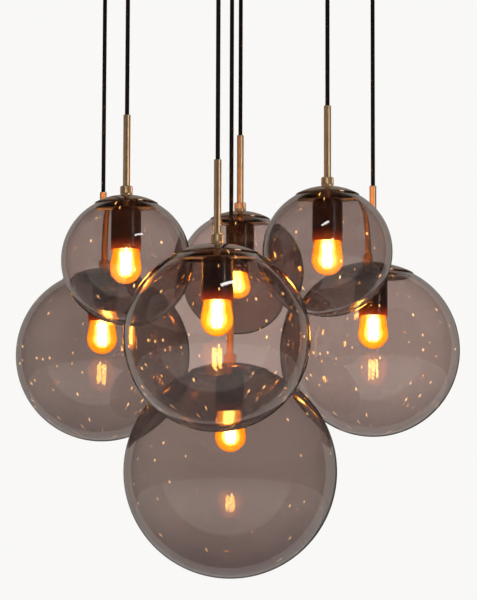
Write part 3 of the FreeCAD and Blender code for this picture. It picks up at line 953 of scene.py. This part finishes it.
class PENDANT_OT_stage(bpy.types.Operator):
    """Set the pale floor, the soft lamps, the background and the camera"""

    bl_idname = "pendant.stage"
    bl_label = "Stage"

    def execute(self, context):
        look = context.scene.pendant_colours
        self.floor(look)
        self.world(context.scene, look)
        self.lamps()
        self.camera(context.scene)
        return {"FINISHED"}

    def lamps(self):
        """Softboxes for everything, strips and glow for metal, a slot for the front ball.

        After its place each lamp has its width, its height and its watts.
        """
        self.lamp("lamp_key", (-1.6, -2.2, 1.5), 1.6, 1.6, 28)
        self.lamp("lamp_top", (0.2, 0.4, 2.0), 2.0, 2.0, 20)
        self.lamp("lamp_fill", (2.6, -1.5, -0.35), 1.7, 2.4, 14)
        polished = ("brass_stem", "turned_nut", "pressed_cap", "lampholder", "canopy", "cord_grips")
        at = (2.1, -1.4, -0.5)
        self.lamp("lamp_strip", at, 0.7, 2.6, 17, shown_to=polished)
        self.lamp("lamp_strip_inside", at, 0.34, 2.6, 12, shown_to=("lampholder",),
                  inside_glass=True)
        self.lamp("lamp_side", (-1.8, -1.8, -0.4), 2.0, 2.4, 2.4, shown_to=polished)
        at = (-0.8, -1.95, -0.5)
        brass = ("brass_stem", "turned_nut")
        among = tuple(f"{piece}_{name}" for piece in brass for name in AMONG_BULBS)
        behind = tuple(f"{piece}_small_back" for piece in brass)
        self.lamp("lamp_glow", at, 1.5, 2.0, 28, shown_to=among, inside_glass=True, tint=GLOW_AMONG)
        self.lamp("lamp_glow_behind", at, 1.5, 2.0, 5, shown_to=behind, tint=GLOW_BEHIND)
        self.lamp("lamp_above", (0.3, 0.2, 1.6), 2.4, 2.4, 8,
                  shown_to=("canopy", "ceiling_bracket"))
        front = seat("medium_front") + Vector((0, 0, middle_of("medium_front")))
        self.lamp("lamp_slot", front + Vector((0.125, -0.297, 0.51)), 0.15, 0.035, 0.12,
                  target=front + Vector((0.02, -0.107, 0.06)), roll=math.radians(12),
                  shown_to=EVERY_PIECE)

    def floor(self, look):
        """The plain pale floor; from below it is clear, so that it never hides the pendant."""
        bm = bmesh.new()
        turns = [2 * math.pi * step / FLOOR_SIDES for step in range(FLOOR_SIDES)]
        rings = [[bm.verts.new(polar(reach, turn)) for turn in turns] for reach in FLOOR_RINGS]
        bm.faces.new(rings[0])
        for inner, outer in zip(rings, rings[1:]):
            bridge(bm, outer, inner)
        floor = bpy.data.objects.new("floor", meshed("floor", bm))
        floor.location.z = FLOOR_HEIGHT
        bpy.context.scene.collection.objects.link(floor)
        material, tree, shader = principled("pale floor", Roughness=0.7)
        paler = tuple(min(1, part * 1.03) for part in look.floor)
        feed(shader, "Base Color", blend(tree, noise(tree, 1.5, 4.0), tuple(look.floor), paler))
        below = node(tree, "NewGeometry").outputs["Backfacing"]
        clear = node(tree, "BsdfTransparent").outputs[0]
        one_sided = node(tree, "MixShader", {0: below, 1: shader.outputs[0], 2: clear})
        tree.links.new(one_sided.outputs[0], tree.nodes["Material Output"].inputs["Surface"])
        floor.data.materials.append(material)
        floor.visible_glossy = False

    def world(self, scene, look):
        """The plain background, soft light all round, and the room that glass and metal mirror."""
        world = bpy.data.worlds.new("studio")
        scene.world = world
        world.use_nodes = True
        tree = world.node_tree
        shown = tree.nodes["Background"]
        shown.inputs["Color"].default_value = (*look.backdrop, 1)
        light = node(tree, "Background", {"Color": SOFT_LIGHT, "Strength": SOFT_LEVEL})
        way = node(tree, "TexCoord").outputs["Generated"]
        axes = node(tree, "SeparateXYZ", {0: way}).outputs
        # The room: a wall behind the pendant, dark in its middle, dim ends, and the near ground.
        wall = sums(tree, "MULTIPLY", spread(tree, axes["Y"], 0.62, 0.66, 0.0, WALL_LEVEL),
                    spread(tree, axes["Y"], 0.93, 0.97, 1.0, 0.12))
        right = spread(tree, axes["X"], -0.25, 0.6, DARKEST_LEVEL, RIGHT_LEVEL)
        left = spread(tree, axes["X"], -0.5, -0.95, 0.0, LEFT_LEVEL)
        ahead = spread(tree, axes["Y"], -0.22, -0.30, 0.0, GROUND_LEVEL)
        ground = sums(tree, "MULTIPLY", ahead, spread(tree, axes["Z"], -0.1, -0.4))
        level = wall
        for part in (right, left, ground):
            level = sums(tree, "ADD", level, part)
        room = node(tree, "Background", {"Color": ROOM_LIGHT, "Strength": level})
        path = node(tree, "LightPath").outputs
        mirrored = sums(tree, "GREATER_THAN", path["Glossy Depth"], 0.5)
        backdrop = node(tree, "MixShader", {0: mirrored, 1: shown.outputs[0], 2: room.outputs[0]})
        seen = sums(tree, "MAXIMUM", path["Is Camera Ray"], path["Is Glossy Ray"])
        seen = sums(tree, "MAXIMUM", seen, path["Is Transmission Ray"])
        mix = node(tree, "MixShader", {0: seen, 1: light.outputs[0], 2: backdrop.outputs[0]})
        tree.links.new(mix.outputs[0], tree.nodes["World Output"].inputs["Surface"])

    def lamp(self, name, at, wide, tall, watts, target=(0, 0, -0.6), roll=0.0, shown_to=None,
             inside_glass=False, tint=(1, 1, 1)):
        """A softbox that faces the cluster; shown_to names the pieces it lights and shows in."""
        data = bpy.data.lights.new(name, "AREA")
        data.shape = "RECTANGLE"
        data.size, data.size_y, data.energy = wide, tall, watts
        data.color = tint
        data.cycles.use_multiple_importance_sampling = not inside_glass
        lamp = bpy.data.objects.new(name, data)
        lamp.location = at
        aim = (Vector(target) - lamp.location).to_track_quat("-Z", "Y").to_matrix()
        lamp.rotation_euler = (aim @ Matrix.Rotation(roll, 3, "Z")).to_euler()
        lamp.visible_camera = False
        lamp.visible_glossy = lamp.visible_transmission = shown_to is not None
        bpy.context.scene.collection.objects.link(lamp)
        if shown_to:
            lamp.light_linking.receiver_collection = gathered(f"lit by {name}", shown_to)

    def camera(self, scene):
        """The photograph's view: a long lens a little below the cluster, looking up."""
        yaw, rise, roll = math.radians(4.47), math.radians(6.59), math.radians(0.20)
        aim, away, aside = Vector((0, 0, -0.539)), 3.998, 0.0107
        level = math.cos(rise)
        ahead = Vector((-math.sin(yaw) * level, math.cos(yaw) * level, math.sin(rise)))
        right = Vector((math.cos(yaw), math.sin(yaw), 0))
        data = bpy.data.cameras.new("camera")
        data.lens, data.sensor_width, data.clip_end = 169.7, 36, 100
        camera = bpy.data.objects.new("camera", data)
        camera.location = aim - ahead * away + right * aside
        upright = ahead.to_track_quat("-Z", "Y").to_matrix()
        camera.rotation_euler = (upright @ Matrix.Rotation(roll, 3, "Z")).to_euler()
        scene.collection.objects.link(camera)
        scene.camera = camera
        scene.view_settings.view_transform = "Standard"


STEPS = (
    PENDANT_OT_cords, PENDANT_OT_globes, PENDANT_OT_caps, PENDANT_OT_stems, PENDANT_OT_nuts,
    PENDANT_OT_bulbs, PENDANT_OT_finish_solids, PENDANT_OT_stage,
)


class PENDANT_PT_sidebar(bpy.types.Panel):
    """Sizes, colours and steps of the pendant"""

    bl_idname = "PENDANT_PT_sidebar"
    bl_label = "Cluster Pendant"
    bl_space_type = "VIEW_3D"
    bl_region_type = "UI"
    bl_category = "Pendant"

    def draw(self, context):
        for group in (context.scene.pendant_sizes, context.scene.pendant_colours):
            box = self.layout.box()
            for key in group.__annotations__:
                box.prop(group, key)
        for step in STEPS:
            self.layout.operator(step.bl_idname)


CLASSES = (PendantSizes, PendantColours, *STEPS, PENDANT_PT_sidebar)


def register():
    for item in CLASSES:
        bpy.utils.register_class(item)
    bpy.types.Scene.pendant_sizes = bpy.props.PointerProperty(type=PendantSizes)
    bpy.types.Scene.pendant_colours = bpy.props.PointerProperty(type=PendantColours)


def unregister():
    del bpy.types.Scene.pendant_colours
    del bpy.types.Scene.pendant_sizes
    for item in reversed(CLASSES):
        bpy.utils.unregister_class(item)


def main():
    """Build every piece in order."""
    register()
    for step in STEPS:
        group, name = step.bl_idname.split(".")
        getattr(getattr(bpy.ops, group), name)()
    bpy.context.view_layer.update()


if __name__ == "__main__":
    main()
